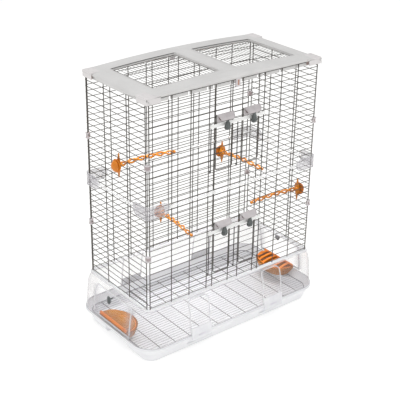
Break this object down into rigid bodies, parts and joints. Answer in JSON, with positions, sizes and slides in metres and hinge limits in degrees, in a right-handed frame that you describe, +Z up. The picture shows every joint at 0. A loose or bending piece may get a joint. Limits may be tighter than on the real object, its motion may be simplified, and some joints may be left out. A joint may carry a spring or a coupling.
{
  "type": "bird cage",
  "caption": "Tall two-level wire cage on a clear skirt and deep pan, with sliding doors, end flaps, twisted perches, feeding cups and an arched roof with window grilles.",
  "frame": {"origin": "centre of the underside, on the ground plane", "axes": "+X along the length, to the right of someone facing the front; -Y is the front with the sliding doors; +Z up"},
  "size_m": [0.78, 0.4274, 0.9322],
  "materials": {
    "wire": "semi-gloss powder coat",
    "white_plastic": "satin moulded",
    "roof_plastic": "satin moulded",
    "clear_plastic": "clear moulded",
    "latch_plastic": "frosted moulded",
    "strip_plastic": "satin moulded",
    "orange_plastic": "satin moulded",
    "bowl_plastic": "translucent moulded",
    "handle_plastic": "satin moulded",
    "knob_plastic": "gloss moulded",
    "rod_steel": "gloss coated"
  },
  "bodies": {
    "cage": {"base_pan": "white_plastic", "base_skirt": "clear_plastic", "floor_grille": "wire", "wall_front_lower": "wire", "wall_back_lower": "wire", "wall_left_lower": "wire", "wall_right_lower": "wire", "wall_front_upper": "wire", "wall_back_upper": "wire", "wall_left_upper": "wire", "wall_right_upper": "wire", "strip_front": "strip_plastic", "strip_back": "strip_plastic", "strip_left": "strip_plastic", "strip_right": "strip_plastic", "bracket_front_left": "clear_plastic", "bracket_front_right": "clear_plastic", "bracket_back_left": "clear_plastic", "bracket_back_right": "clear_plastic", "guide_bar_lower": "strip_plastic", "guide_bar_upper": "strip_plastic", "guide_rods_lower": "rod_steel", "guide_rods_upper": "rod_steel", "roof_frame": "roof_plastic", "roof_grille_left": "wire", "roof_grille_right": "wire", "perch_left": "orange_plastic", "perch_back_right": "orange_plastic", "perch_back_left": "orange_plastic", "perch_right": "orange_plastic", "perch_nut_left": "orange_plastic", "perch_nut_back_right": "orange_plastic", "perch_nut_back_left": "orange_plastic", "perch_nut_right": "orange_plastic", "cup_left": "bowl_plastic", "cup_right": "bowl_plastic", "cup_hood_left": "orange_plastic", "cup_hood_right": "orange_plastic"},
    "door_lower_left": {"door_lower_left": "wire", "handle_lower_left": "handle_plastic"},
    "knob_lower_left": {"knob_lower_left": "knob_plastic"},
    "door_lower_right": {"door_lower_right": "wire", "handle_lower_right": "handle_plastic"},
    "knob_lower_right": {"knob_lower_right": "knob_plastic"},
    "door_upper_left": {"door_upper_left": "wire", "handle_upper_left": "handle_plastic"},
    "knob_upper_left": {"knob_upper_left": "knob_plastic"},
    "door_upper_right": {"door_upper_right": "wire", "handle_upper_right": "handle_plastic"},
    "knob_upper_right": {"knob_upper_right": "knob_plastic"},
    "end_door_left": {"end_door_left": "clear_plastic"},
    "end_knob_left": {"end_knob_left": "knob_plastic"},
    "latch_front_left": {"latch_front_left": "latch_plastic"},
    "latch_back_left": {"latch_back_left": "latch_plastic"},
    "end_door_right": {"end_door_right": "clear_plastic"},
    "end_knob_right": {"end_knob_right": "knob_plastic"},
    "latch_front_right": {"latch_front_right": "latch_plastic"},
    "latch_back_right": {"latch_back_right": "latch_plastic"}
  },
  "joints": [
    {"name": "door_lower_left_slide", "type": "slide", "parent": "cage", "child": "door_lower_left", "axis": [0, 0, 1], "range_m": [0, 0.1]},
    {"name": "knob_lower_left_turn", "type": "hinge", "parent": "door_lower_left", "child": "knob_lower_left", "pos_m": [-0.055, -0.1882, 0.4207], "axis": [0, 0, 1], "range_deg": [0, 90]},
    {"name": "door_lower_right_slide", "type": "slide", "parent": "cage", "child": "door_lower_right", "axis": [0, 0, 1], "range_m": [0, 0.1]},
    {"name": "knob_lower_right_turn", "type": "hinge", "parent": "door_lower_right", "child": "knob_lower_right", "pos_m": [0.055, -0.1882, 0.4207], "axis": [0, 0, 1], "range_deg": [0, 90]},
    {"name": "door_upper_left_slide", "type": "slide", "parent": "cage", "child": "door_upper_left", "axis": [0, 0, 1], "range_m": [0, 0.1]},
    {"name": "knob_upper_left_turn", "type": "hinge", "parent": "door_upper_left", "child": "knob_upper_left", "pos_m": [-0.055, -0.1882, 0.79445], "axis": [0, 0, 1], "range_deg": [0, 90]},
    {"name": "door_upper_right_slide", "type": "slide", "parent": "cage", "child": "door_upper_right", "axis": [0, 0, 1], "range_m": [0, 0.1]},
    {"name": "knob_upper_right_turn", "type": "hinge", "parent": "door_upper_right", "child": "knob_upper_right", "pos_m": [0.055, -0.1882, 0.79445], "axis": [0, 0, 1], "range_deg": [0, 90]},
    {"name": "end_door_left_hinge", "type": "hinge", "parent": "cage", "child": "end_door_left", "pos_m": [-0.38542, 0, 0.0724], "axis": [0, -1, 0], "range_deg": [0, 75]},
    {"name": "end_knob_left_turn", "type": "hinge", "parent": "end_door_left", "child": "end_knob_left", "pos_m": [-0.3802, 0.015, 0.16], "axis": [-1, 0, 0], "range_deg": [-90, 90]},
    {"name": "latch_front_left_hinge", "type": "hinge", "parent": "cage", "child": "latch_front_left", "pos_m": [-0.1615, -0.20631, 0.086], "axis": [-1, 0, 0], "range_deg": [0, 80]},
    {"name": "latch_back_left_hinge", "type": "hinge", "parent": "cage", "child": "latch_back_left", "pos_m": [-0.1615, 0.20631, 0.086], "axis": [1, 0, 0], "range_deg": [0, 80]},
    {"name": "end_door_right_hinge", "type": "hinge", "parent": "cage", "child": "end_door_right", "pos_m": [0.38542, 0, 0.0724], "axis": [0, 1, 0], "range_deg": [0, 75]},
    {"name": "end_knob_right_turn", "type": "hinge", "parent": "end_door_right", "child": "end_knob_right", "pos_m": [0.3802, 0.015, 0.16], "axis": [1, 0, 0], "range_deg": [-90, 90]},
    {"name": "latch_front_right_hinge", "type": "hinge", "parent": "cage", "child": "latch_front_right", "pos_m": [0.1615, -0.20631, 0.086], "axis": [-1, 0, 0], "range_deg": [0, 80]},
    {"name": "latch_back_right_hinge", "type": "hinge", "parent": "cage", "child": "latch_back_right", "pos_m": [0.1615, 0.20631, 0.086], "axis": [1, 0, 0], "range_deg": [0, 80]}
  ]
}
